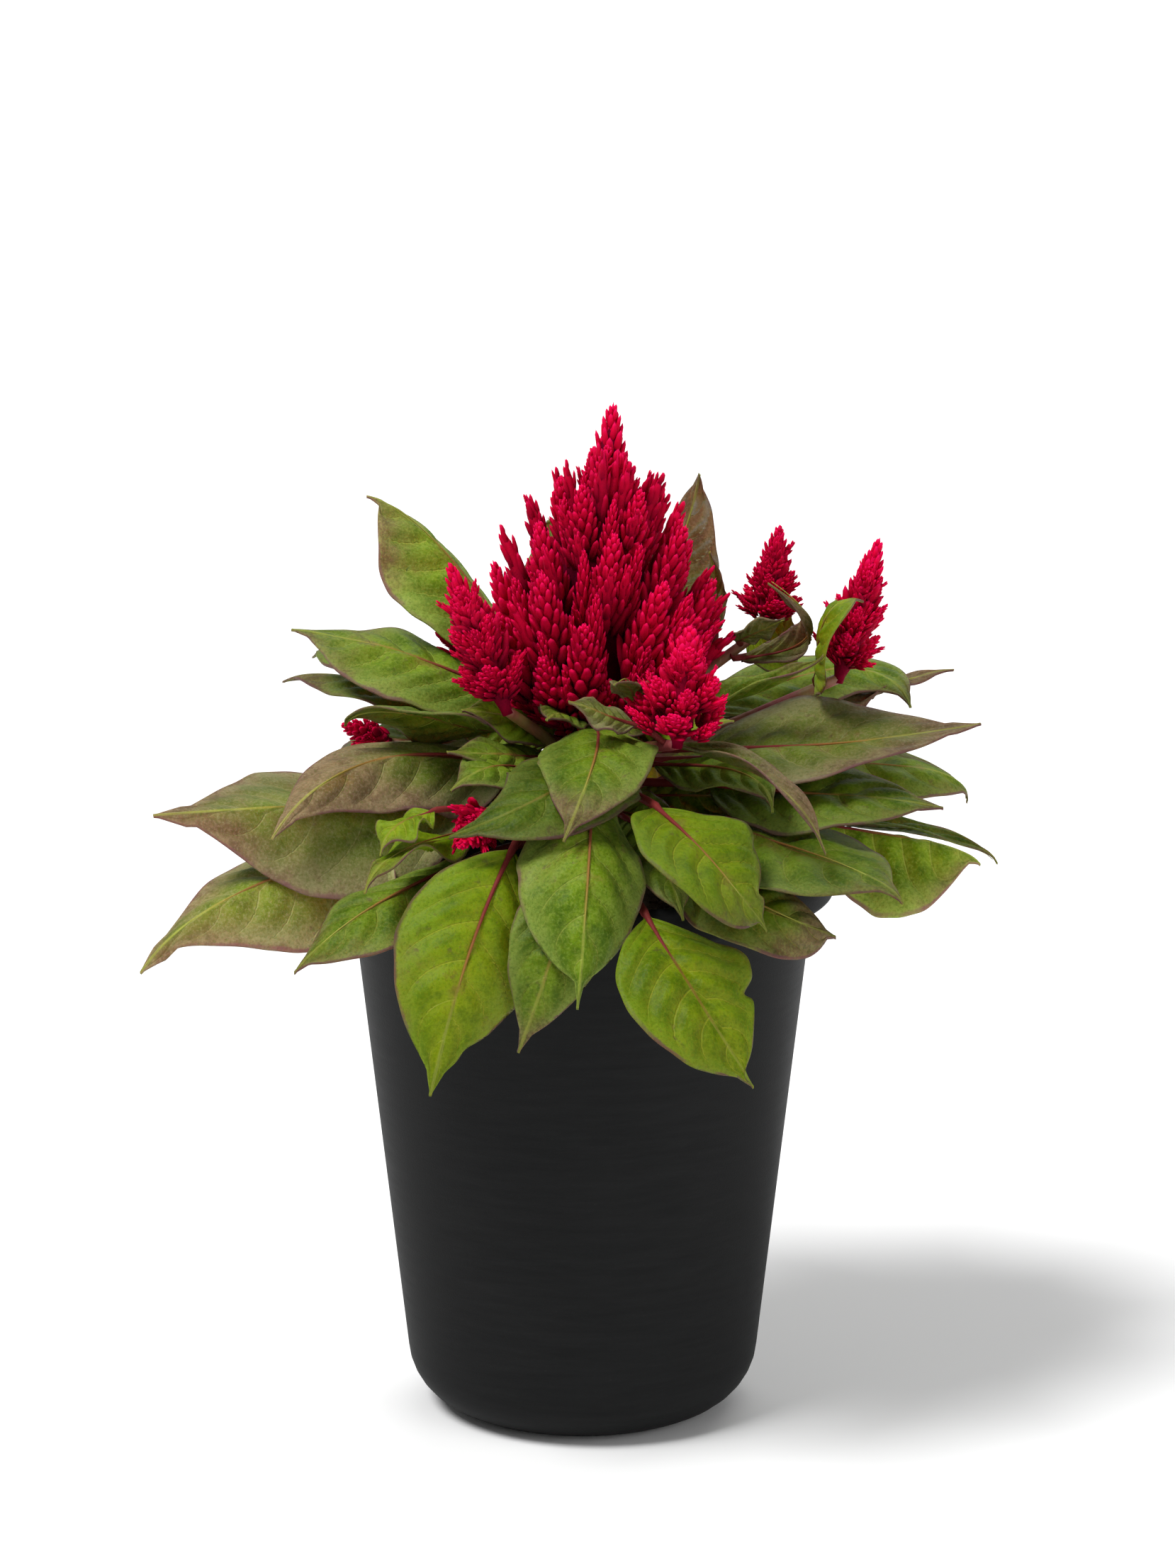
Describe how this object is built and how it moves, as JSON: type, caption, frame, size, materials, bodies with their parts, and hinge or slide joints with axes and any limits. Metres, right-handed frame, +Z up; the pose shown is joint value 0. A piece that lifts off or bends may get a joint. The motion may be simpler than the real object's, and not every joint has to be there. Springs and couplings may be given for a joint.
{
  "type": "potted plume celosia",
  "caption": "Crimson plume celosia with feathery spires over a rosette of pointed, veined leaves, growing in a round black nursery pot.",
  "frame": {"origin": "centre of the pot's flat foot", "axes": "+Z up the plant, -Y towards the viewer, +X to the viewer's right"},
  "size_m": [0.194, 0.1717, 0.236],
  "materials": {
    "pot": "black moulded plastic, satin, with faint scuffs",
    "soil": "dark moist peat mix, crumbly",
    "stem": "fleshy ribbed stem, green flushed with red",
    "leaf_lime": "soft leaf, lime green with yellow veins, half matt",
    "leaf_green": "soft leaf, mid green with yellow-green veins, half matt",
    "leaf_bronze": "soft leaf, green flushed with bronze and purple at the edge",
    "plume": "papery crimson florets, pinker at the tips, slight sheen"
  },
  "bodies": {
    "root": {"pot": "pot", "soil": "soil", "stem": "stem", "frontLeftLowLeaf": "leaf_lime", "frontCentreLowLeaf": "leaf_green", "frontRightLowLeaf": "leaf_lime", "frontGapLeaf": "leaf_green", "frontRightHookLeaf": "leaf_lime", "centreTopLeaf": "leaf_green", "centreLeftLeaf": "leaf_green", "centreSmallLeaf": "leaf_bronze", "centreBehindLeaf": "leaf_bronze", "leftHighLeaf": "leaf_green", "leftUpperLeaf": "leaf_green", "leftThinLeaf": "leaf_green", "leftMidLeaf": "leaf_green", "leftBronzeLeaf": "leaf_bronze", "leftInnerLeaf": "leaf_green", "leftFarLeaf": "leaf_bronze", "leftFarLowLeaf": "leaf_bronze", "leftLowLeaf": "leaf_green", "leftRuffleLeaf": "leaf_lime", "leftSprigLeaf": "leaf_lime", "rightTopLeaf": "leaf_bronze", "rightRedRibLeaf": "leaf_bronze", "rightInnerLeaf": "leaf_green", "rightCurlLeaf": "leaf_green", "rightDarkLeaf": "leaf_green", "rightFarLowLeaf": "leaf_green", "rightTailLeaf": "leaf_green", "rightLowLeaf": "leaf_green", "rightRustyLeaf": "leaf_green", "rightShadeLeaf": "leaf_green", "rightTwistLeaf": "leaf_bronze", "rightBehindLeaf": "leaf_green", "rightNeedleLeaf": "leaf_green", "rightUprightLeaf": "leaf_lime", "rightHookUpLeaf": "leaf_bronze", "rightSmallDarkLeaf": "leaf_bronze", "rightPinLeaf": "leaf_bronze", "rightPaleLeaf": "leaf_lime", "backRightLeaf": "leaf_bronze", "backLeftLeaf": "leaf_green", "backMidLeaf": "leaf_bronze", "backRightLowLeaf": "leaf_green", "backLeftLowLeaf": "leaf_green", "backDropLeaf": "leaf_lime", "backHighLeaf": "leaf_green", "backSideLeaf": "leaf_bronze", "mainPlume": "plume", "leftPlume": "plume", "frontRightPlume": "plume", "rightInnerPlume": "plume", "rightOuterPlume": "plume", "lowLeftPlume": "plume", "frontLowPlume": "plume", "backLeftPlume": "plume", "backPlume": "plume"}
  },
  "joints": []
}
